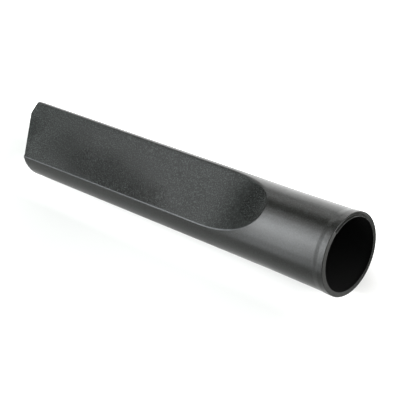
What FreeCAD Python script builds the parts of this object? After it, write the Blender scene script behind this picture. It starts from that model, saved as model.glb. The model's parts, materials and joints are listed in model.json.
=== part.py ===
import FreeCAD, Part
import math
import os

# Vacuum crevice tool: one hollow plastic moulding, open at both ends.
# A round push-on socket runs through two long scoops, front and back, into a flat-sided nozzle
# whose tip is cut at a slant.
#
# Frame: the origin is the middle of the socket's mouth, +X runs along the tool to its tip,
# and Z is square to the two flats. The longer side of the tip is towards -Y. Millimetres.

# Socket: a plain bore that ends in a shallow conical stop
socket_bore_radius = 17.5
socket_depth = 35.0
socket_stop_length = 1.5
mouth_lead_in = 0.35

# Tube: a plain land at the mouth, a short cone down from it, then a taper to a short plain ring
# beside the scoops
rim_radius = 19.65
rim_land_length = 2.6
rim_flare_length = 3.2
flare_blend_radius = 12.0
tube_radius = 19.33
plain_ring_length = 1.2

# Nozzle: round sides, two flats that lean together a little towards the tip, and an even wall
nozzle_side_radius = 18.96
nozzle_wall = 1.8
flat_half_thickness_at_scoop = 11.33
flat_half_thickness_at_tip = 10.33

# Scoops: hollow arcs that leave the flats without a crease and climb to the tube
scoop_end_x = 73.4
scoop_radius = 88.0

# Tip, seen square to the flats: a square nose, a slant, and a square heel on the short side
long_side_length = 215.2
short_side_length = 201.0
nose_corner_offset = 8.6
tip_slant_deg = 30.5

# Edge roundings
ridge_radius = 0.6
inner_ridge_radius = 0.5
tip_corner_radius = 1.2
tip_edge_radius = 0.3
rim_edge_radius = 0.4

# How far the cutting shapes run past the tool
cut_margin = 20.0

# Edges shorter than this along the tool lie across it
across_limit = 0.01

# The line of the front flat, and the scoop's arc that is tangent to it
flat_fall = flat_half_thickness_at_scoop - flat_half_thickness_at_tip
flat_run = long_side_length - scoop_end_x
flat_along = FreeCAD.Vector(flat_run, 0, -flat_fall).normalize()
flat_normal = FreeCAD.Vector(flat_fall, 0, flat_run).normalize()
scoop_end = FreeCAD.Vector(scoop_end_x, 0, flat_half_thickness_at_scoop)
scoop_centre = scoop_end + flat_normal * scoop_radius


def vec(x, y, z):
    """A point or direction."""
    return FreeCAD.Vector(x, y, z)


def chain(points):
    """Straight edges through the points, in order, not closed."""
    return [Part.LineSegment(a, b).toShape() for a, b in zip(points, points[1:])]


def corner_arc(before, corner, after, radius):
    """The start, middle and end of the arc that rounds a corner between two straight lines."""
    to_before = (before - corner).normalize()
    to_after = (after - corner).normalize()
    half_angle = to_before.getAngle(to_after) / 2
    bisector = (to_before + to_after).normalize()
    centre = corner + bisector * (radius / math.sin(half_angle))
    reach = radius / math.tan(half_angle)
    return corner + to_before * reach, centre - bisector * radius, corner + to_after * reach


def outline(corners):
    """A flat face inside a closed outline of corners, each a point and the radius that rounds it."""
    stops = []
    for i, (point, radius) in enumerate(corners):
        before = corners[i - 1][0]
        after = corners[(i + 1) % len(corners)][0]
        stops.append(corner_arc(before, point, after, radius) if radius else (point, point, point))
    edges = []
    for i, (start, middle, end) in enumerate(stops):
        if corners[i][1]:
            edges.append(Part.Arc(start, middle, end).toShape())
        edges.append(Part.LineSegment(end, stops[(i + 1) % len(stops)][0]).toShape())
    return Part.Face(Part.Wire(edges))


def revolve(corners):
    """The solid that an outline, closed along the tool's axis, sweeps about that axis."""
    return outline(corners).revolve(vec(0, 0, 0), vec(1, 0, 0), 360)


def scoop_x_at(height, radius):
    """Where along the tool an arc of this radius about the scoop's centre is at this height."""
    return scoop_centre.x - math.sqrt(radius ** 2 - (scoop_centre.z - height) ** 2)


def outer_round():
    """The tool's outside before its flats: rim land, cone, tapering tube and round nozzle sides."""
    end_x = long_side_length + cut_margin
    flare_end_x = rim_land_length + rim_flare_length
    taper_end_x = scoop_x_at(nozzle_side_radius, scoop_radius) - plain_ring_length
    return revolve([
        (vec(0, 0, 0), 0),
        (vec(0, 0, rim_radius), rim_edge_radius),
        (vec(rim_land_length, 0, rim_radius), flare_blend_radius),
        (vec(flare_end_x, 0, tube_radius), flare_blend_radius),
        (vec(taper_end_x, 0, nozzle_side_radius), 0),
        (vec(end_x, 0, nozzle_side_radius), 0),
        (vec(end_x, 0, 0), 0),
    ])


def inner_round():
    """The tool's inside before its flats: lead-in, socket bore, stop and the nozzle's inner sides."""
    end_x = long_side_length + cut_margin
    inner_radius = nozzle_side_radius - nozzle_wall
    return revolve([
        (vec(-cut_margin, 0, 0), 0),
        (vec(-cut_margin, 0, socket_bore_radius + mouth_lead_in), 0),
        (vec(0, 0, socket_bore_radius + mouth_lead_in), 0),
        (vec(mouth_lead_in, 0, socket_bore_radius), 0),
        (vec(socket_depth, 0, socket_bore_radius), 0),
        (vec(socket_depth + socket_stop_length, 0, inner_radius), 0),
        (vec(end_x, 0, inner_radius), 0),
        (vec(end_x, 0, 0), 0),
    ])


def waste_above_flat(depth):
    """What is cut away above the front flat and its scoop, both set this far below the outside."""
    radius = scoop_radius + depth
    top = rim_radius + cut_margin
    flat_start = scoop_centre - flat_normal * radius
    flat_end = flat_start + flat_along * (flat_run + 2 * cut_margin)
    arc_top = vec(scoop_x_at(top, radius), 0, top)
    to_middle = ((flat_start - scoop_centre) + (arc_top - scoop_centre)).normalize()
    arc = Part.Arc(arc_top, scoop_centre + to_middle * radius, flat_start).toShape()
    rest = chain([flat_start, flat_end, vec(flat_end.x, 0, top), arc_top])
    profile = Part.Face(Part.Wire([arc] + rest))
    half_width = rim_radius + cut_margin
    profile.translate(vec(0, -half_width, 0))
    return profile.extrude(vec(0, 2 * half_width, 0))


def is_flat_or_scoop(face):
    """Whether a face is one of the two flats or their scoops."""
    surface = face.Surface
    if isinstance(surface, Part.Plane):
        return abs(surface.Axis.z) > abs(surface.Axis.x) and abs(surface.Axis.z) > abs(surface.Axis.y)
    return isinstance(surface, Part.Cylinder) and abs(surface.Axis.y) > abs(surface.Axis.x)


def flatten(round_solid, depth, edge_radius):
    """Cut the front and back flats, with their scoops, and round the ridges beside them."""
    front = waste_above_flat(depth)
    back = front.mirror(vec(0, 0, 0), vec(0, 0, 1))
    solid = round_solid.cut(front).cut(back)
    faces = [f for f in solid.Faces if is_flat_or_scoop(f)]
    ridges = [e for f in faces for e in f.Edges if e.BoundBox.XLength > across_limit]
    return solid.makeFillet(edge_radius, ridges)


def tip_waste():
    """What is cut away past the tip: square at the nose, slanted, then square at the heel."""
    reach = rim_radius + cut_margin
    far_x = long_side_length + 2 * cut_margin
    slant_width = (long_side_length - short_side_length) / math.tan(math.radians(tip_slant_deg))
    heel_corner_offset = slant_width - nose_corner_offset
    profile = outline([
        (vec(long_side_length, -reach, -reach), 0),
        (vec(long_side_length, -nose_corner_offset, -reach), tip_corner_radius),
        (vec(short_side_length, heel_corner_offset, -reach), tip_corner_radius),
        (vec(short_side_length, reach, -reach), 0),
        (vec(far_x, reach, -reach), 0),
        (vec(far_x, -reach, -reach), 0),
    ])
    return profile.extrude(vec(0, 0, 2 * reach))


def trim_tip(solid):
    """Cut the tip to its outline and round the edge all the way round it."""
    trimmed = solid.cut(tip_waste())
    end_faces = [f for f in trimmed.Faces if f.BoundBox.XMin > short_side_length - across_limit]
    seen = {}
    for face in end_faces:
        for edge in face.Edges:
            seen.setdefault(edge.hashCode(), []).append(edge)
    outer_edges = [edges[0] for edges in seen.values() if len(edges) == 1]
    return trimmed.makeFillet(tip_edge_radius, outer_edges)


def nozzle_body():
    """The whole moulding."""
    outside = trim_tip(flatten(outer_round(), 0, ridge_radius))
    inside = flatten(inner_round(), nozzle_wall, inner_ridge_radius)
    return outside.cut(inside)


os.makedirs("parts", exist_ok=True)
nozzle_body().exportStep("parts/nozzle_body.step")
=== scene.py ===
"""Looks of a one-piece crevice tool: its moulded shell, the finish of its surfaces and a plain studio.

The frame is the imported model's: the origin is the middle of the socket's mouth, +X runs along the tool to
its tip and Z is square to the two flats. The shell's sizes are in millimetres, which MM turns into metres.
Finishes and the studio are in metres, as the scene is. A place on the shell has a station, which is how far
it is along the tool, and a turn, from +Z towards +Y.
"""

from __future__ import annotations

import json
import logging
import math
from dataclasses import dataclass, fields
from enum import Enum
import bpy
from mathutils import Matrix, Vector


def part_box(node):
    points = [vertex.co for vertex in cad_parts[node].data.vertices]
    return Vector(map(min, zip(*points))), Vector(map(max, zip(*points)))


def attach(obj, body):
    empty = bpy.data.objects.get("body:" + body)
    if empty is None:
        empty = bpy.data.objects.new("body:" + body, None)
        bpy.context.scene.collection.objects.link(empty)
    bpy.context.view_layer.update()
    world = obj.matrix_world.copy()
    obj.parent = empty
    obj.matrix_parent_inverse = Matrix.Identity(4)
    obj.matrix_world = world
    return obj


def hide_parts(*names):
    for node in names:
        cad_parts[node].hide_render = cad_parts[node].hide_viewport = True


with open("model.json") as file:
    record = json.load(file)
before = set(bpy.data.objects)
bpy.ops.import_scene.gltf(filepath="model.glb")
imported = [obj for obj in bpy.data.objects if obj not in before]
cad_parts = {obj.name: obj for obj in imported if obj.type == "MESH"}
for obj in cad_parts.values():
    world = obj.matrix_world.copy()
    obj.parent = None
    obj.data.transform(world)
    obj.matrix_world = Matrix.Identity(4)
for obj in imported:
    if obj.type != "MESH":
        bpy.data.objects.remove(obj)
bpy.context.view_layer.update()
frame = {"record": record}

from types import SimpleNamespace
from typing import Any, Mapping, Union

import bpy
from mathutils import Quaternion, Vector

LOG = logging.getLogger("crevice_tool")
BODY = "root"
NODE = "nozzle_body"
SHELL = "crevice_tool_shell"
MM = 0.001
QUARTERS = 4
QUARTER_TURN = math.pi / 2
FULL_TURN = 2 * math.pi
NOISE_MIDDLE = 0.5
WHITE = (1.0, 1.0, 1.0)
COOL_WHITE = (0.97, 1.0, 1.015)
LAMP_AIM = (0.09, 0.0, 0.0)

Pair = tuple[float, float]
Triple = tuple[float, float, float]


class Wall(Enum):
    """The two faces of the shell's wall, with the share of the wall that lies outside them."""

    OUTSIDE = 0
    INSIDE = 1


class Course(Enum):
    """How a leg of rows goes: straight, or round the outer edge of the tip or of the rim."""

    STRAIGHT = "straight"
    OVER_TIP = "over_tip"
    OVER_RIM = "over_rim"


class Mark(Enum):
    """What the shell's mesh tells its finish about a place, as attributes from 0 to 1."""

    GRAIN = "grain"
    # Where the finish paints shade inside the socket and the duct
    INSIDE = "inside"
    # Where the finish paints a highlight along the near ridge
    RIDGE = "ridge"


class Term:
    """One socket of a node tree, written in expressions as if it were a number."""

    def __init__(self, sheet: NodeSheet, socket: bpy.types.NodeSocket) -> None:
        """Keep the socket and the sheet that it is on."""
        self.sheet = sheet
        self.socket = socket

    def math(self, operation: str, *others: Operand) -> Term:
        """One Math node with this term first."""
        return self.sheet.math(operation, self, *others)

    def held(self) -> Term:
        """This held between 0 and 1."""
        return self.math("MAXIMUM", 0.0).math("MINIMUM", 1.0)

    def swing(self) -> Term:
        """Noise as a swing about 0."""
        return self - NOISE_MIDDLE

    def __add__(self, other: Operand) -> Term:
        """This plus other."""
        return self.sheet.math("ADD", self, other)

    def __radd__(self, other: Operand) -> Term:
        """Other plus this."""
        return self.sheet.math("ADD", other, self)

    def __sub__(self, other: Operand) -> Term:
        """This minus other."""
        return self.sheet.math("SUBTRACT", self, other)

    def __rsub__(self, other: Operand) -> Term:
        """Other minus this."""
        return self.sheet.math("SUBTRACT", other, self)

    def __mul__(self, other: Operand) -> Term:
        """This times other."""
        return self.sheet.math("MULTIPLY", self, other)

    def __rmul__(self, other: Operand) -> Term:
        """Other times this."""
        return self.sheet.math("MULTIPLY", other, self)

    def __truediv__(self, other: Operand) -> Term:
        """This over other."""
        return self.sheet.math("DIVIDE", self, other)

    def __rtruediv__(self, other: Operand) -> Term:
        """Other over this."""
        return self.sheet.math("DIVIDE", other, self)

    def __pow__(self, other: Operand) -> Term:
        """This to the power of other."""
        return self.sheet.math("POWER", self, other)

    def __neg__(self) -> Term:
        """This with its sign turned."""
        return self.sheet.math("MULTIPLY", self, -1.0)


Operand = Union[Term, float, int]
Colour = Union[Term, Triple]


class NodeSheet:
    """A node tree while it is written."""

    # A Mix node has sockets for values, vectors and colours, and these are the numbers of its colour ones
    MIX_FACTOR = 0
    MIX_LOW = 6
    MIX_HIGH = 7
    MIX_RESULT = 2

    def __init__(self, tree: bpy.types.NodeTree) -> None:
        """Write on this tree."""
        self.tree = tree

    def node(
        self,
        kind: str,
        settings: Mapping[str, Any] | None = None,
        sockets: Mapping[Union[str, int], Any] | None = None,
    ) -> bpy.types.Node:
        """Add one node of any kind.

        Args:
            kind: The node's type name.
            settings: The node's own settings, set before its sockets.
            sockets: Input names or numbers, each with a value, a term or a socket to link.

        Returns:
            The new node.
        """
        node = self.tree.nodes.new(kind)
        for name, value in (settings or {}).items():
            setattr(node, name, value)
        for name, value in (sockets or {}).items():
            self.feed(node.inputs[name], value)
        return node

    def feed(self, socket: bpy.types.NodeSocket, value: Any) -> None:
        """Give an input its value or its link.

        Args:
            socket: The input.
            value: A plain value, a term or an output socket.
        """
        if isinstance(value, Term):
            value = value.socket
        if isinstance(value, bpy.types.NodeSocket):
            self.tree.links.new(value, socket)
        else:
            socket.default_value = value

    def term(
        self,
        kind: str,
        settings: Mapping[str, Any] | None = None,
        sockets: Mapping[Union[str, int], Any] | None = None,
        output: Union[str, int] = 0,
    ) -> Term:
        """Add one node and take one of its outputs as a term.

        Args:
            kind: The node's type name.
            settings: The node's own settings.
            sockets: Input names or numbers with what they get.
            output: The name or number of the output.

        Returns:
            That output.
        """
        return Term(self, self.node(kind, settings, sockets).outputs[output])

    def math(self, operation: str, *operands: Operand) -> Term:
        """One Math node on these operands."""
        return self.term("ShaderNodeMath", {"operation": operation}, dict(enumerate(operands)))

    def xyz(self, x: Operand, y: Operand, z: Operand) -> Term:
        """A vector of three values."""
        return self.term("ShaderNodeCombineXYZ", None, {"X": x, "Y": y, "Z": z})

    def split(self, vector: Term) -> list[Term]:
        """The x, y and z of a vector."""
        parts = self.node("ShaderNodeSeparateXYZ", None, {0: vector}).outputs
        return [Term(self, parts[axis]) for axis in "XYZ"]

    def step(self, value: Operand, start: Operand, end: Operand) -> Term:
        """0 before start, 1 after end, and a smooth climb between them.

        Args:
            value: What is tested.
            start: Where the climb starts.
            end: Where the climb ends.

        Returns:
            The climb at value.
        """
        sockets = {"Value": value, "From Min": start, "From Max": end}
        return self.term("ShaderNodeMapRange", {"interpolation_type": "SMOOTHSTEP"}, sockets)

    def noise(self, vector: Term, scale: Operand, detail: float, roughness: float = 0.5) -> Term:
        """Smooth noise about NOISE_MIDDLE.

        Args:
            vector: Where it is read.
            scale: Grains over a length of one.
            detail: How many finer layers it has.
            roughness: How strong the finer layers are.

        Returns:
            The noise's value.
        """
        sockets = {"Vector": vector, "Scale": scale, "Detail": detail, "Roughness": roughness}
        return self.term("ShaderNodeTexNoise", {"noise_dimensions": "3D"}, sockets)

    def blend(self, factor: Term, low: Colour, high: Colour) -> Term:
        """A colour between two, or past them where the factor is.

        Args:
            factor: 0 for the low colour, 1 for the high one.
            low: A tint or a term.
            high: A tint or a term.

        Returns:
            The blended colour.
        """
        low, high = ((*end, 1.0) if isinstance(end, tuple) else end for end in (low, high))
        sockets = {self.MIX_FACTOR: factor, self.MIX_LOW: low, self.MIX_HIGH: high}
        settings = {"data_type": "RGBA", "clamp_factor": False}
        return self.term("ShaderNodeMix", settings, sockets, self.MIX_RESULT)

    def surface(self, sockets: Mapping[str, Any]) -> None:
        """Close a material's tree with one Principled shader that has these inputs."""
        shader = self.term("ShaderNodeBsdfPrincipled", None, sockets)
        self.node("ShaderNodeOutputMaterial", None, {"Surface": shader})


def between(low: Operand, high: Operand, share: Operand) -> Operand:
    """The value that is this share of the way from low to high."""
    return low + (high - low) * share


def blank_material(name: str) -> tuple[bpy.types.Material, NodeSheet]:
    """Start a material.

    Args:
        name: The material's name.

    Returns:
        The material and the empty sheet of its tree.
    """
    material = bpy.data.materials.new(name)
    material.use_nodes = True
    material.node_tree.nodes.clear()
    return material, NodeSheet(material.node_tree)


@dataclass
class ShellSizes:
    """The shell's sizes in millimetres, degrees and counts."""

    # Main sizes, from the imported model
    tool_length: float
    rim_radius: float
    bore_radius: float
    # Socket: a small lip round its mouth, a plain bore and a conical stop
    mouth_lip: float = 0.22
    mouth_depth: float = 1.2
    bore_depth: float = 35.0
    stop_length: float = 1.5
    # Collar and tube: a plain land, a short cone and a slight taper that ends where the scoops start
    rim_edge: float = 0.18
    land_length: float = 2.9
    land_fall: float = 0.01
    flare_end: float = 5.6
    flare_blend: float = 0.035
    tube_radius: float = 19.33
    taper_end: float = 36.4
    # Nozzle: round sides, flats that lean together and scoops that run into them
    side_radius: float = 18.96
    wall: float = 1.8
    flat_start: float = 73.4
    flat_start_height: float = 11.33
    flat_end_height: float = 10.33
    scoop_radius: float = 88.0
    ridge_blend: float = 0.8
    far_ridge_blend: float = 1.8
    apex_blend: float = 0.1
    # Tip: a square nose, a slant and a square heel
    heel_length: float = 201.4
    nose_offset: float = 8.6
    tip_slant: float = 30.5
    tip_corner: float = 0.5
    tip_edge: float = 0.3
    tip_shear_start: float = 110.0
    # The half of the rim that has a groove and a ragged lip
    half_turn: float = -6.0
    half_groove: float = 1.2
    groove_turn: float = -60.0
    burr: float = 0.3
    # Flats that sank as the moulding cooled
    flat_dish: float = 0.45
    dish_half_width: float = 15.3
    dish_start: float = 55.0
    dish_end: float = 185.0
    flat_sink: float = 0.05
    sink_length: float = 26.0
    # Mesh, with the seed of its noise and the share of a quarter's columns that are on the flat
    seed: float = 3.0
    columns_a_quarter: int = 56
    ridge_column: float = 0.6


@dataclass(frozen=True)
class Leg:
    """A run of rows: how far it goes along the tool, and how much of the wall it crosses."""

    rows: int
    run: Operand
    cross: Operand = 0.0
    course: Course = Course.STRAIGHT


class ShellRule:
    """The shell's shape as a rule, written into a geometry tree in millimetres.

    One sheet of faces goes out along the outside, over the tip's cut, back along the inside and over the
    rim. A row has a station and a share of the wall, 0 on the outside and 1 on the inside.
    """

    # How columns crowd along the ridges, and the stations between which they turn from an even spread
    COLUMN_BUNCHING = 1.7
    LEAST_RIDGE_TURN = math.radians(24.0)
    RIDGE_SOFTNESS = 0.04
    FOLLOW_RUN = (20.0, 40.0)
    LEAST_COSINE = 0.001
    # How far from the scoop's top its sharp edge takes to become a rounded ridge
    CREASE_RUN = 24.0
    # How far a flat is below the round sides where its grain is full, and where the painted highlight along
    # the near ridge fades
    GRAIN_EDGE = 0.35
    RIDGE_LINE = (0.05, 0.42)
    # The sunk flats: how long the dish takes to reach its depth, and the layers of the waves in it
    DISH_RUN = 34.0
    SINK_DETAIL = 1.0
    # The rim's groove, as shares of the way across the rim's face from its inner edge
    GROOVE_STARTS = 0.04
    GROOVE_DEEPEST = 0.26
    # The powers with which the ragged lip and the inside's mark fall off across the rim's face
    LIP_FALL = 4.0
    INSIDE_FALL = 3.0
    # The ragged lip's noise
    BURR_SCALE = 7.0
    BURR_DETAIL = 3.0
    BURR_ROUGHNESS = 0.7

    def __init__(self, sheet: NodeSheet, size: SimpleNamespace) -> None:
        """Write the rule on this sheet.

        Args:
            sheet: The geometry tree.
            size: The tree's inputs as terms, named as the fields of ShellSizes.
        """
        self.sheet = sheet
        self.size = size

    def legs(self) -> dict[str, Leg]:
        """The rows' course round the wall's section.

        Returns:
            The legs in order, by name.
        """
        size = self.size
        collar_end = size.flare_end + size.land_length
        stop_end = size.bore_depth + size.stop_length
        tip_edge_share = size.tip_edge / size.wall
        rim_wall = size.rim_radius - size.bore_radius
        rim_edge_share = size.rim_edge / rim_wall
        lip_share = size.mouth_lip / rim_wall
        return {
            "collar": Leg(30, collar_end - size.rim_edge),
            "tube": Leg(20, size.taper_end - collar_end),
            "scoop": Leg(96, size.flat_start - size.taper_end),
            "blade": Leg(110, size.tool_length - size.tip_edge - size.flat_start),
            "tip_edge": Leg(5, size.tip_edge, tip_edge_share, Course.OVER_TIP),
            "tip_face": Leg(5, 0.0, 1 - tip_edge_share),
            "duct": Leg(30, size.flat_start - size.tool_length),
            "inner_scoop": Leg(34, stop_end - size.flat_start),
            "stop": Leg(3, -size.stop_length),
            "bore": Leg(12, size.mouth_depth - size.bore_depth),
            "throat": Leg(5, -size.mouth_depth, lip_share),
            "rim_face": Leg(14, 0.0, rim_edge_share - lip_share - 1),
            "rim_edge": Leg(5, size.rim_edge, -rim_edge_share, Course.OVER_RIM),
        }

    def row_count(self) -> int:
        """How many rows of faces all legs have."""
        return sum(leg.rows for leg in self.legs().values())

    def follow_rows(self, row: Term) -> SimpleNamespace:
        """Where a row is.

        Args:
            row: The row's number, 0 behind the rim's rounded edge.

        Returns:
            Its station, its share of the wall, and how far it is along the throat and the rim's face.
        """
        station = self.size.rim_edge
        share = 0.0
        first = 0
        done = {}
        for name, leg in self.legs().items():
            sockets = {"Value": row, "From Min": float(first), "From Max": float(first + leg.rows)}
            part = self.sheet.term("ShaderNodeMapRange", {"clamp": True}, sockets)
            sine = (part * QUARTER_TURN).math("SINE")
            versine = 1 - (part * QUARTER_TURN).math("COSINE")
            along, across = {
                Course.STRAIGHT: (part, part),
                Course.OVER_TIP: (sine, versine),
                Course.OVER_RIM: (versine, sine),
            }[leg.course]
            station = station + along * leg.run
            share = across * leg.cross + share
            first += leg.rows
            done[name] = part
        return SimpleNamespace(
            station=station, share=share, throat=done["throat"], rim_face=done["rim_face"]
        )

    def round_radius(self, station: Term, wall: Wall) -> Term:
        """The radius of the round parts: flared mouth, tapering tube and nozzle sides, or bore and duct.

        Args:
            station: Where along the tool.
            wall: Which face of the wall.

        Returns:
            The radius there.
        """
        size = self.size
        if wall is Wall.INSIDE:
            duct_radius = size.side_radius - size.wall
            stop = (station - size.bore_depth) / size.stop_length
            return between(size.bore_radius, duct_radius, stop.held())
        land_end_radius = size.rim_radius - size.land_fall
        land = size.rim_radius - size.land_fall / size.land_length * station
        flare_slope = (land_end_radius - size.tube_radius) / (size.flare_end - size.land_length)
        flare = size.tube_radius + (size.flare_end - station) * flare_slope
        taper_slope = (size.tube_radius - size.side_radius) / (size.taper_end - size.flare_end)
        taper = size.tube_radius - (station - size.flare_end) * taper_slope
        collar = land.math("SMOOTH_MIN", flare, size.flare_blend)
        return collar.math("SMOOTH_MAX", taper, size.flare_blend).math("MAXIMUM", size.side_radius)

    def flat_height(self, station: Term, wall: Wall) -> Term:
        """The height of a flat or its scoop above the tool's middle plane.

        Args:
            station: Where along the tool.
            wall: Which face of the wall.

        Returns:
            The height there, which goes on climbing past the scoop's end.
        """
        size = self.size
        depth = size.wall * wall.value
        slope = (size.flat_start_height - size.flat_end_height) / (size.tool_length - size.flat_start)
        flat = size.flat_start_height - (station - size.flat_start) * slope - depth
        centre_x = size.flat_start + slope * size.scoop_radius
        centre_z = size.flat_start_height + size.scoop_radius
        radius = size.scoop_radius + depth
        across = station - centre_x
        scoop = centre_z - (radius * radius - across * across).math("SQRT")
        return between(flat, scoop, station.math("LESS_THAN", size.flat_start))

    def turn_of(self, quarter: Term, station: Term, wall: Wall) -> Term:
        """The turn of a column, so that columns crowd along the ridges beside the flats.

        Args:
            quarter: The column's share of its quarter, 0 at the flat's middle and 1 at the side's.
            station: Where along the tool.
            wall: Which face of the wall.

        Returns:
            The turn from the nearest half of the Z axis, in radians.
        """
        size = self.size
        ratio = self.flat_height(station, wall) / self.round_radius(station, wall)
        least = math.cos(self.LEAST_RIDGE_TURN)
        ridge = ratio.math("SMOOTH_MIN", least, self.RIDGE_SOFTNESS).math("ARCCOSINE")
        on_flat = (quarter / size.ridge_column).math("MINIMUM", 1.0)
        on_side = ((quarter - size.ridge_column) / (1 - size.ridge_column)).math("MAXIMUM", 0.0)
        flat_share = 1 - (1 - on_flat) ** self.COLUMN_BUNCHING
        flat_turn = (ridge.math("TANGENT") * flat_share).math("ARCTANGENT")
        side_turn = (QUARTER_TURN - ridge) * on_side ** self.COLUMN_BUNCHING
        follow = self.sheet.step(station, *self.FOLLOW_RUN)
        return between(quarter * QUARTER_TURN, flat_turn + side_turn, follow)

    def tip_station(self, y: Term) -> Term:
        """Where the tool ends: square at the nose, slanted, then square at the heel.

        Args:
            y: How far across the flat.

        Returns:
            The station of the cut.
        """
        size = self.size
        slope = size.tip_slant.math("RADIANS").math("TANGENT")
        slant = size.tool_length - (y + size.nose_offset) * slope
        nose = slant.math("SMOOTH_MIN", size.tool_length, size.tip_corner)
        return nose.math("SMOOTH_MAX", size.heel_length, size.tip_corner)

    def flat_dish(self, station: Term, y: Term) -> Term:
        """How far the middle of a flat has sunk as the moulding cooled.

        Args:
            station: Where along the tool.
            y: How far across the flat.

        Returns:
            The depth there.
        """
        size, sheet = self.size, self.sheet
        across = (y / size.dish_half_width).math("MINIMUM", 1.0)
        along = sheet.step(station, size.dish_start, size.dish_start + self.DISH_RUN)
        ending = 1 - sheet.step(station, size.dish_end - self.DISH_RUN, size.dish_end)
        return size.flat_dish * (1 - across * across) * along * ending

    def wall_section(self, station: Term, v: Term, wall: Wall) -> SimpleNamespace:
        """A place on the section's outside or inside.

        Args:
            station: Where along the tool.
            v: The column's share of the full turn, 0 on +Z.
            wall: Which face of the wall.

        Returns:
            Its y and z, its grain, which is 1 on flats and scoops, and its ridge, 1 on the near ridge,
            where the finish paints a highlight.
        """
        size, sheet = self.size, self.sheet
        y_sign = (v * FULL_TURN).math("SINE").math("SIGN")
        z_sign = (v * FULL_TURN).math("COSINE").math("SIGN")
        turn = self.turn_of((v * QUARTERS).math("PINGPONG", 1.0), station, wall)
        cosine = turn.math("COSINE").math("MAXIMUM", self.LEAST_COSINE)
        radius = self.round_radius(station, wall)
        height = self.flat_height(station, wall)
        dish = self.flat_dish(station, height * turn.math("TANGENT"))
        # The two flats read the noise at different levels, so that they don't mirror each other
        level = (z_sign + size.seed) * size.sink_length
        place = sheet.xyz(station, turn * y_sign * size.side_radius, level)
        sink = sheet.noise(place, 1 / size.sink_length, self.SINK_DETAIL).swing() * size.flat_sink
        flat = (height + sink - dish) / cosine
        apex = sheet.step(station, size.taper_end, size.taper_end + self.CREASE_RUN)
        far = y_sign.math("LESS_THAN", 0.0)
        ridge_blend = between(size.ridge_blend, size.far_ridge_blend, far)
        reach = radius.math("SMOOTH_MIN", flat, between(size.apex_blend, ridge_blend, apex))
        # The line along the near ridge where the finish paints a highlight
        line = 1 - sheet.step((radius - flat).math("ABSOLUTE"), *self.RIDGE_LINE)
        return SimpleNamespace(
            y=reach * turn.math("SINE") * y_sign,
            z=reach * cosine * z_sign,
            grain=((radius - flat) / self.GRAIN_EDGE).held(),
            ridge=line * apex * (1 - far),
        )

    def rim_relief(self, row: SimpleNamespace, v: Term) -> Term:
        """The groove and the ragged lip on one half of the rim's face.

        Args:
            row: Where the row is.
            v: The column's share of the full turn, 0 on +Z.

        Returns:
            How far they move a place along the tool.
        """
        size, sheet = self.size, self.sheet
        turn = v * FULL_TURN
        circle = sheet.xyz(turn.math("COSINE"), turn.math("SINE"), size.seed)
        ragged = sheet.noise(circle, self.BURR_SCALE, self.BURR_DETAIL, self.BURR_ROUGHNESS)
        lip = row.throat * (1 - row.rim_face) ** self.LIP_FALL
        falls = sheet.step(row.rim_face, self.GROOVE_STARTS, self.GROOVE_DEEPEST)
        climbs = ((1 - row.rim_face) / (1 - self.GROOVE_DEEPEST)).math("MINIMUM", 1.0)
        around = (1 + (turn - size.groove_turn.math("RADIANS")).math("COSINE")) / 2
        groove = falls * climbs * size.half_groove * around
        on_half = (turn - size.half_turn.math("RADIANS")).math("SINE").math("LESS_THAN", 0.0)
        return (groove - lip * ragged * size.burr) * on_half

    def place(self, u: Term, v: Term) -> SimpleNamespace:
        """A place on the shell.

        Args:
            u: The share of the way round the wall's section, along the rows' course.
            v: The column's share of the full turn, 0 on +Z.

        Returns:
            Its x, y and z in millimetres, and its marks.
        """
        size = self.size
        row = self.follow_rows(u * self.row_count())
        outer = self.wall_section(row.station, v, Wall.OUTSIDE)
        inner = self.wall_section(row.station, v, Wall.INSIDE)
        y = between(outer.y, inner.y, row.share)
        z = between(outer.z, inner.z, row.share)
        lean = self.sheet.step(row.station, size.tip_shear_start, size.tool_length - size.tip_edge)
        x = row.station + (self.tip_station(y) - size.tool_length) * lean + self.rim_relief(row, v)
        outside = 1 - row.share
        marks = {
            Mark.GRAIN: outer.grain * outside,
            # Where the finish paints shade inside the socket and the duct
            Mark.INSIDE: row.share * (1 - row.rim_face) ** self.INSIDE_FALL,
            # Where the finish paints a highlight along the near ridge
            Mark.RIDGE: outer.ridge * outside,
        }
        return SimpleNamespace(x=x, y=y, z=z, marks=marks)


@dataclass(frozen=True)
class RubAndShadePatch:
    """A long soft patch of the front, polished smoother and painted darker as shade, in metres and degrees.
    """

    # Where a patch fades, in reaches from its middle
    FADE = (0.25, 1.25)

    middle: Pair
    reach: Pair
    turn: float
    raggedness: float = 0.7
    strength: float = 1.0

    def weight(self, sheet: NodeSheet, x: Term, y: Term, cloud: Term) -> Term:
        """How far a place lies in the patch.

        Args:
            sheet: The material's tree.
            x: The place along the tool.
            y: The place across the flat.
            cloud: Soft noise that frays the patch.

        Returns:
            The patch's strength in its middle, 0 outside it.
        """
        cosine, sine = math.cos(math.radians(self.turn)), math.sin(math.radians(self.turn))
        from_x, from_y = x - self.middle[0], y - self.middle[1]
        along = (from_x * cosine + from_y * sine) / self.reach[0]
        across = (from_y * cosine - from_x * sine) / self.reach[1]
        distance = (along * along + across * across).math("SQRT") + cloud.swing() * self.raggedness
        return (1 - sheet.step(distance, *self.FADE)) * self.strength


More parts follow.
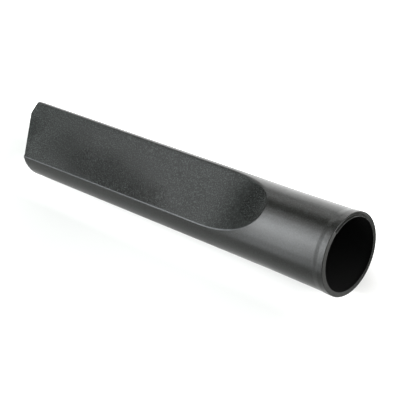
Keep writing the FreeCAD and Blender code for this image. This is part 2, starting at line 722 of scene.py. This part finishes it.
@dataclass(frozen=True)
class MouldedPlastic:
    """Black moulded plastic: satin where the mould was polished, grained where it was spark eroded."""

    # Layers of the noises, and the mark at which the inside is painted black as shade
    CLOUD_DETAIL = 2.0
    FINE_DETAIL = 1.0
    SPECK_ROUGHNESS = 0.6
    INSIDE_SHADE_EDGE = (0.955, 1.0)

    name: str = "black_moulded_plastic"
    refraction: float = 1.30
    # Tints, each noise's pull on them, and the least that the satin's may be pulled to
    satin_tint: Triple = (0.0051, 0.0056, 0.0044)
    grain_tint: Triple = (0.0095, 0.0108, 0.0100)
    # The dark end of the grain's flecks, and of the shade painted on the polished patches
    grain_dark_and_shade_tint: Triple = (0.0048, 0.0054, 0.0049)
    # A painted highlight along the near ridge
    ridge_highlight_tint: Triple = (0.073, 0.077, 0.080)
    # Painted shade: the inside of the socket and the duct is painted near black
    bore_shade_tint: Triple = (0.0012, 0.0012, 0.0011)
    cloud_contrast: float = 1.5
    grain_contrast: float = 21.0
    satin_contrast: float = 1.0
    satin_speck: float = 7.0
    satin_least: float = -1.0
    # Sizes of the noises and the depth of the grain
    cloud_size: float = 26 * MM
    peel_size: float = 1.9 * MM
    grain_size: float = 0.62 * MM
    grain_depth: float = 0.03 * MM
    # Roughness
    satin_roughness: float = 0.30
    satin_spread: float = 0.03
    grain_roughness: float = 0.44
    cloud_roughness: float = 0.10
    side_roughness: float = 0.40
    side_start: Pair = (0.040, 0.075)
    bore_roughness: float = 0.62
    # Painted light: a highlight along the near ridge, a sheen that makes the flats lighter towards the tip,
    # and patches of the front polished smooth and painted darker as shade
    ridge_highlight_share: Pair = (0.6, 1.4)
    # Painted sheen: the flats are made lighter towards the tip
    tip_sheen: float = 0.90
    tip_sheen_run: Pair = (0.168, 0.190)
    rub_roughness: float = -0.21
    # Painted shade: how much darker the polished patches are painted
    rub_shade_strength: float = 0.95
    rubs: tuple[RubAndShadePatch, ...] = (
        RubAndShadePatch((0.131, 0.0095), (0.060, 0.0145), -9.0, strength=0.90),
        RubAndShadePatch((0.104, 0.012), (0.034, 0.012), -6.0, strength=0.35),
        RubAndShadePatch((0.209, 0.001), (0.009, 0.014), -30.0, strength=0.50),
        RubAndShadePatch((0.046, 0.0), (0.022, 0.022), 0.0),
    )

    def material(self) -> bpy.types.Material:
        """Write the finish as a node material.

        Returns:
            The material.
        """
        material, sheet = blank_material(self.name)
        spot = self.spot(sheet)
        relief = {"Height": spot.grain * spot.speck, "Distance": self.grain_depth}
        sheet.surface({
            "Base Color": self.colour(sheet, spot),
            "Roughness": self.roughness(sheet, spot),
            "Normal": sheet.term("ShaderNodeBump", None, relief),
            "IOR": self.refraction,
        })
        return material

    def spot(self, sheet: NodeSheet) -> SimpleNamespace:
        """What the finish depends on at a spot.

        Args:
            sheet: The material's tree.

        Returns:
            The spot's place along the tool, its marks, its noises and how far it lies in the patches that
            are polished smoother and painted darker as shade.
        """
        place = sheet.term("ShaderNodeTexCoord", None, None, "Object")
        x, y, z = sheet.split(place)
        cloud = sheet.noise(place, 1 / self.cloud_size, self.CLOUD_DETAIL)
        front = z.math("GREATER_THAN", 0.0)
        return SimpleNamespace(
            x=x,
            grain=self.mark(sheet, Mark.GRAIN),
            ridge=self.mark(sheet, Mark.RIDGE),
            # Where the inside is painted near black as shade
            bore=sheet.step(self.mark(sheet, Mark.INSIDE), *self.INSIDE_SHADE_EDGE),
            cloud=cloud,
            speck=sheet.noise(place, 1 / self.grain_size, self.FINE_DETAIL, self.SPECK_ROUGHNESS),
            peel=sheet.noise(place, 1 / self.peel_size, self.FINE_DETAIL),
            # How far a spot lies in the polished patches, which are also painted darker as shade
            rubbed=sum(rub.weight(sheet, x, y, cloud) for rub in self.rubs) * front,
        )

    def mark(self, sheet: NodeSheet, mark: Mark) -> Term:
        """Read one of the mesh's marks."""
        return sheet.term("ShaderNodeAttribute", {"attribute_name": mark.value}, None, "Fac")

    def colour(self, sheet: NodeSheet, spot: SimpleNamespace) -> Term:
        """The colour of the plastic.

        Args:
            sheet: The material's tree.
            spot: What the finish depends on.

        Returns:
            The colour.
        """
        fleck_and_sheen = spot.speck.swing() * self.grain_contrast + spot.cloud.swing() * self.cloud_contrast
        # Painted sheen: the flats are made lighter towards the tip
        fleck_and_sheen = fleck_and_sheen + sheet.step(spot.x, *self.tip_sheen_run) * self.tip_sheen
        # Painted shade: the polished patches on the front are made darker
        tone_sheen_and_shade = (1 + fleck_and_sheen - spot.rubbed * self.rub_shade_strength).math("MAXIMUM", 0.0)
        grained = sheet.blend(tone_sheen_and_shade, self.grain_dark_and_shade_tint, self.grain_tint)
        haze = spot.peel.swing() * self.satin_contrast + spot.speck.swing() * self.satin_speck
        satin = sheet.blend(haze.math("MAXIMUM", self.satin_least), self.satin_tint, self.grain_tint)
        plain = sheet.blend(spot.grain, satin, grained)
        # Painted highlight: a pale line along the near ridge
        ridge_lit = sheet.blend(spot.ridge * between(*self.ridge_highlight_share, spot.peel), plain, self.ridge_highlight_tint)
        # Painted shade: the inside of the socket and the duct is painted near black
        return sheet.blend(spot.bore, ridge_lit, self.bore_shade_tint)

    def roughness(self, sheet: NodeSheet, spot: SimpleNamespace) -> Term:
        """The roughness of the plastic.

        Args:
            sheet: The material's tree.
            spot: What the finish depends on.

        Returns:
            The roughness.
        """
        smooth = 1 - spot.grain
        side = sheet.step(spot.x, *self.side_start) * smooth
        rough = between(self.satin_roughness, self.grain_roughness, spot.grain)
        rough = rough + self.cloud_roughness * spot.cloud.swing()
        rough = rough + self.rub_roughness * spot.rubbed * spot.grain
        rough = rough + (self.side_roughness - self.satin_roughness) * side
        rough = rough + self.satin_spread * spot.peel.swing() * smooth
        return rough + (self.bore_roughness - self.satin_roughness) * spot.bore


@dataclass
class NozzleShell:
    """The tool's one moulding: flared mouth, tube, two scooped flats and a slanted tip."""

    # A flat grid of size 1, so that a place on it is a share of its rows and of its columns
    GRID = 1.0

    sizes: ShellSizes
    finish: MouldedPlastic
    merge_distance: float = 0.002 * MM
    sharp_angle: float = math.radians(40.0)

    def tree(self, material: bpy.types.Material) -> tuple[bpy.types.NodeTree, dict[str, str]]:
        """Write the shell's rule as a geometry tree.

        Args:
            material: The finish that the mesh is given.

        Returns:
            The tree, and the identifier of each of its inputs by size name.
        """
        tree = bpy.data.node_groups.new(SHELL, "GeometryNodeTree")
        identifiers = {}
        for size in fields(self.sizes):
            kind = "NodeSocketInt" if isinstance(getattr(self.sizes, size.name), int) else "NodeSocketFloat"
            title = size.name.replace("_", " ").capitalize()
            socket = tree.interface.new_socket(title, in_out="INPUT", socket_type=kind)
            identifiers[size.name] = socket.identifier
        tree.interface.new_socket("Shell", in_out="OUTPUT", socket_type="NodeSocketGeometry")
        sheet = NodeSheet(tree)
        inputs = sheet.node("NodeGroupInput").outputs
        sizes = {size.name: Term(sheet, inputs[i]) for i, size in enumerate(fields(self.sizes))}
        shell = self.bent_sheet(ShellRule(sheet, SimpleNamespace(**sizes)))
        joined = {"Geometry": shell, "Distance": self.merge_distance}
        shell = sheet.term("GeometryNodeMergeByDistance", None, joined)
        shell = sheet.term("GeometryNodeSetShadeSmooth", {"domain": "FACE"}, {"Geometry": shell})
        sharp = sheet.term("GeometryNodeInputMeshEdgeAngle").math("GREATER_THAN", self.sharp_angle)
        creased = {"Geometry": shell, "Selection": sharp, "Shade Smooth": False}
        shell = sheet.term("GeometryNodeSetShadeSmooth", {"domain": "EDGE"}, creased)
        shell = sheet.term("GeometryNodeRealizeInstances", None, {"Geometry": shell})
        shell = sheet.term("GeometryNodeSetMaterial", None, {"Geometry": shell, "Material": material})
        sheet.node("NodeGroupOutput", None, {0: shell})
        return tree, identifiers

    def bent_sheet(self, rule: ShellRule) -> Term:
        """A grid of faces, one row and one column of points for each step of the rule, bent into place.

        Args:
            rule: The shell's rule.

        Returns:
            The bent sheet with its marks, its edges not yet joined.
        """
        sheet = rule.sheet
        grid = {
            "Size X": self.GRID,
            "Size Y": self.GRID,
            "Vertices X": rule.row_count() + 1,
            "Vertices Y": rule.size.columns_a_quarter * QUARTERS + 1,
        }
        mesh = sheet.term("GeometryNodeMeshGrid", None, grid)
        x, y, _ = sheet.split(sheet.term("GeometryNodeInputPosition"))
        point = rule.place(x + self.GRID / 2, y + self.GRID / 2)
        for mark, value in point.marks.items():
            settings = {"data_type": "FLOAT", "domain": "POINT"}
            store = {"Geometry": mesh, "Name": mark.value, "Value": value}
            mesh = sheet.term("GeometryNodeStoreNamedAttribute", settings, store)
        bent = sheet.xyz(point.x * MM, point.y * MM, point.z * MM)
        return sheet.term("GeometryNodeSetPosition", None, {"Geometry": mesh, "Position": bent})

    def build(self) -> bpy.types.Object:
        """Make the shell's mesh from its rule.

        Returns:
            The shell's object, at the origin.
        """
        tree, identifiers = self.tree(self.finish.material())
        piece = bpy.data.objects.new(SHELL, bpy.data.meshes.new(SHELL))
        bpy.context.scene.collection.objects.link(piece)
        modifier = piece.modifiers.new("shell", "NODES")
        modifier.node_group = tree
        for name, identifier in identifiers.items():
            modifier[identifier] = getattr(self.sizes, name)
        evaluated = piece.evaluated_get(bpy.context.evaluated_depsgraph_get())
        mesh = bpy.data.meshes.new_from_object(evaluated)
        # A grid starts with an empty material slot, which no face uses once the finish is set
        if mesh.materials[0] is None:
            mesh.materials.pop(index=0)
        piece.modifiers.remove(modifier)
        piece.data = mesh
        mesh.name = piece.name
        bpy.data.node_groups.remove(tree)
        return piece

    def dress(self, piece: bpy.types.Object) -> None:
        """Put the shell in the CAD node's place.

        Args:
            piece: The shell's object.
        """
        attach(piece, BODY)
        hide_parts(NODE)


def stand(name: str, data: bpy.types.ID, place: Triple, aim: Triple, roll: float) -> bpy.types.Object:
    """Stand a lamp or a camera in the scene.

    Args:
        name: The object's name.
        data: The lamp's or the camera's own data.
        place: Where it stands.
        aim: What it points at.
        roll: How far it is turned about its line of sight, in degrees.

    Returns:
        The object.
    """
    thing = bpy.data.objects.new(name, data)
    thing.location = place
    thing.rotation_mode = "QUATERNION"
    look = (Vector(aim) - Vector(place)).to_track_quat("-Z", "Y")
    thing.rotation_quaternion = look @ Quaternion((0.0, 0.0, 1.0), math.radians(roll))
    bpy.context.scene.collection.objects.link(thing)
    return thing


@dataclass(frozen=True)
class Softbox:
    """A soft studio lamp: its place and size in metres, its power in watts and its roll in degrees."""

    name: str
    place: Triple
    size: Pair
    power: float
    roll: float = 0.0
    colour: Triple = WHITE

    def build(self) -> bpy.types.Object:
        """Set the lamp up.

        Returns:
            The lamp.
        """
        light = bpy.data.lights.new(self.name, "AREA")
        light.shape = "RECTANGLE"
        light.size, light.size_y = self.size
        light.energy = self.power
        light.color = self.colour
        return stand(self.name, light, self.place, LAMP_AIM, self.roll)


@dataclass(frozen=True)
class KeyArc:
    """The key light: equal softboxes on an arc about the tool's axis, each with its own power."""

    station: float = 0.536
    radius: float = 0.736
    size: Pair = (0.26, 0.16)
    turns: tuple[float, ...] = (-20.5, -0.5, 17.5, 35.4, 55.4, 77.5)
    powers: tuple[float, ...] = (0.22, 2.68, 4.18, 3.38, 2.39, 1.12)

    def lamps(self) -> list[Softbox]:
        """The arc's softboxes, each rolled so that its long side follows the arc.

        Returns:
            The softboxes.
        """
        run = self.station - LAMP_AIM[0]
        distance = math.hypot(run, self.radius)
        lamps = []
        for number, (turn, power) in enumerate(zip(self.turns, self.powers), start=1):
            sine, cosine = math.sin(math.radians(turn)), math.cos(math.radians(turn))
            place = (self.station, self.radius * sine, self.radius * cosine)
            roll = -math.degrees(math.atan2(distance * sine, run * cosine))
            lamps.append(Softbox(f"key_{number}", place, self.size, power, roll, COOL_WHITE))
        return lamps


@dataclass(frozen=True)
class PaleFloor:
    """The floor's matt pale paint, with glow painted into it: a bright pool behind the tool and before its
    mouth, and glow that fills the tool's shadow and keeps the floor even round it.
    """

    name: str = "pale_floor"
    paint: tuple[float, float, float, float] = (0.48, 0.481, 0.469, 1.0)
    # Glow behind the tool and before its mouth, which gives way to an even glow far off
    back_glow: float = 2.15
    back_run: Pair = (-0.005, 0.04)
    mouth_glow: float = 0.72
    mouth_run: Pair = (-0.03, 0.025)
    near_end: Pair = (0.4, 1.1)
    far_glow: float = 0.75
    # Glow in the shadow under the tool's near side, and on the floor in front of its tube
    under_glow: float = 0.42
    under_rise: Pair = (0.008, 0.014)
    under_fall: Pair = (0.022, 0.034)
    front_glow: float = 0.185
    front_fall: Pair = (0.035, 0.16)
    front_end: Pair = (0.07, 0.22)
    beside_start: Pair = (-0.02, 0.0)
    beside_end: Pair = (0.205, 0.235)

    def material(self) -> bpy.types.Material:
        """Write the finish as a node material.

        Returns:
            The material.
        """
        material, sheet = blank_material(self.name)
        x, y, _ = sheet.split(sheet.term("ShaderNodeTexCoord", None, None, "Object"))
        behind = sheet.step(-y, *self.back_run)
        before = sheet.step(-x, *self.mouth_run)
        far = sheet.step((x * x + y * y).math("SQRT"), *self.near_end)
        under = sheet.step(y, *self.under_rise) * (1 - sheet.step(y, *self.under_fall))
        front = sheet.step(y, *self.under_fall) * (1 - sheet.step(y, *self.front_fall))
        front = front * (1 - sheet.step(x, *self.front_end))
        beside = sheet.step(x, *self.beside_start) * (1 - sheet.step(x, *self.beside_end))
        glow = between(behind * self.back_glow + before * self.mouth_glow, self.far_glow, far)
        glow = glow + (under * self.under_glow + front * self.front_glow) * beside
        matt = {"Base Color": self.paint, "Roughness": 1.0, "Specular IOR Level": 0.0}
        sheet.surface({**matt, "Emission Color": glow, "Emission Strength": 1.0})
        return material


@dataclass
class Studio:
    """A plain pale floor under the tool, soft lamps in a dim white room, and the camera."""

    sizes: ShellSizes
    floor_finish: PaleFloor = PaleFloor()
    floor_span: float = 6.0
    # The camera, in metres and degrees, with its lens and sensor in millimetres
    camera_place: Triple = (-0.25057, 0.11134, 0.40739)
    camera_aim: Triple = (0.08796, 0.00112, 0.0)
    camera_roll: float = -45.81
    lens: float = 100.99
    sensor: float = 36.0
    lens_shift: Pair = (-0.00125, 0.00125)
    # Light
    room_glow: float = 0.19
    key: KeyArc = KeyArc()
    fills: tuple[Softbox, ...] = (
        Softbox("top_fill", (0.562, -0.210, 0.737), (0.3, 0.3), 1.07),
        Softbox("mouth_high", (-0.379, -0.083, 0.275), (0.5, 0.5), 1.74),
        Softbox("mouth_low", (-0.356, -0.289, 0.142), (0.5, 0.3), 2.49),
        Softbox("back_middle", (0.244, -0.873, 0.156), (0.4, 0.35), 3.83),
        Softbox("back_tip_end", (0.575, -0.693, 0.308), (0.8, 0.3), 2.01),
    )

    def floor(self) -> bpy.types.Object:
        """Lay the floor that the tool rests on, with its mouth's rim and its tip.

        Returns:
            The floor.
        """
        mouth = -self.sizes.rim_radius * MM
        tip = -self.sizes.flat_end_height * MM
        slope = (tip - mouth) / (self.sizes.tool_length * MM)
        half = self.floor_span / 2
        ends = ((-half, -half), (half, -half), (half, half), (-half, half))
        corners = [(x, y, mouth + slope * x) for x, y in ends]
        mesh = bpy.data.meshes.new("floor")
        mesh.from_pydata(corners, [], [range(len(corners))])
        mesh.materials.append(self.floor_finish.material())
        floor = bpy.data.objects.new("floor", mesh)
        bpy.context.scene.collection.objects.link(floor)
        return floor

    def light(self) -> None:
        """Set the lamps in a dim white room, and show colours as they are."""
        for lamp in (*self.key.lamps(), *self.fills):
            lamp.build()
        world = bpy.data.worlds.new("room")
        world.use_nodes = True
        background = world.node_tree.nodes["Background"]
        background.inputs["Color"].default_value = (*WHITE, 1.0)
        background.inputs["Strength"].default_value = self.room_glow
        bpy.context.scene.world = world
        view = bpy.context.scene.view_settings
        view.view_transform = "Standard"
        view.look = "None"

    def camera(self) -> bpy.types.Object:
        """Stand the camera where the photograph was taken from.

        Returns:
            The camera.
        """
        data = bpy.data.cameras.new("camera")
        data.lens = self.lens
        data.sensor_width = self.sensor
        data.shift_x, data.shift_y = self.lens_shift
        camera = stand("camera", data, self.camera_place, self.camera_aim, self.camera_roll)
        bpy.context.scene.camera = camera
        return camera

    def build(self) -> None:
        """Set the whole studio up."""
        self.floor()
        self.light()
        self.camera()


def shell_sizes() -> ShellSizes:
    """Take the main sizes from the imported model.

    Returns:
        The shell's sizes.
    """
    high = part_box(NODE)[1] / MM
    bore_radius = frame["record"]["mounts"][0]["dims"]["r_mm"]
    return ShellSizes(tool_length=high.x, rim_radius=high.z, bore_radius=bore_radius)


def main() -> None:
    """Build the tool and the studio, and report each piece."""
    logging.basicConfig(level=logging.INFO, format="%(name)s: %(message)s")
    sizes = shell_sizes()
    shell = NozzleShell(sizes, MouldedPlastic())
    piece = shell.build()
    shell.dress(piece)
    mesh = piece.data
    LOG.info("%s has %d points and %d faces", piece.name, len(mesh.vertices), len(mesh.polygons))
    Studio(sizes).build()


if __name__ == "__main__":
    main()
